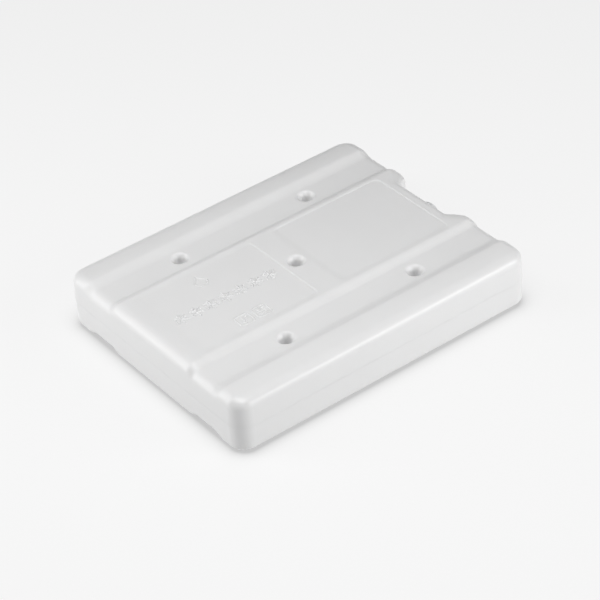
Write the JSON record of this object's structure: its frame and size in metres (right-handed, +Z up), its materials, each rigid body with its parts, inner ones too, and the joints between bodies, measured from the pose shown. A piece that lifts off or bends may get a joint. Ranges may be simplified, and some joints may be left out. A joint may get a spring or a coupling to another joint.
{
  "type": "hard freezer block",
  "caption": "Flat, hollow plastic freezer block for a cool box, with grooved faces, kiss-off dimples and a screw cap set into a bay in one short end.",
  "frame": {"origin": "middle of the lower face's resting plane, under the middle of the block's outer box", "axes": "+Z up, out of the face with the two label fields; +X along the length, towards the end with the bay and the screw cap; +Y along the width"},
  "size_m": [0.2, 0.16, 0.035],
  "materials": {
    "bottle": "satin blow-moulded polyethylene, slightly translucent, fine blasted-mould texture",
    "coolant": "clear pale blue frozen gel, hidden by the wall",
    "cap": "satin injection-moulded polyethylene, a little greyer than the bottle",
    "liner": "soft foamed polyethylene sealing disc"
  },
  "bodies": {
    "block": {"upper_shell": "bottle", "lower_shell": "bottle", "coolant_fill": "coolant"},
    "seal": {"cap_liner": "liner"},
    "cap": {"screw_cap": "cap"}
  },
  "joints": [
    {"name": "cap_lift", "type": "slide", "parent": "block", "child": "seal", "axis": [1, 0, 0], "range_m": [0, 0.00375]},
    {"name": "cap_turn", "type": "hinge", "parent": "seal", "child": "cap", "pos_m": [0.0975, 0, 0.0175], "axis": [1, 0, 0], "range_deg": [0, 450]}
  ],
  "couplings": [
    {"joint": "cap_turn", "follows": "cap_lift", "rad_per_m": 2094.4}
  ]
}
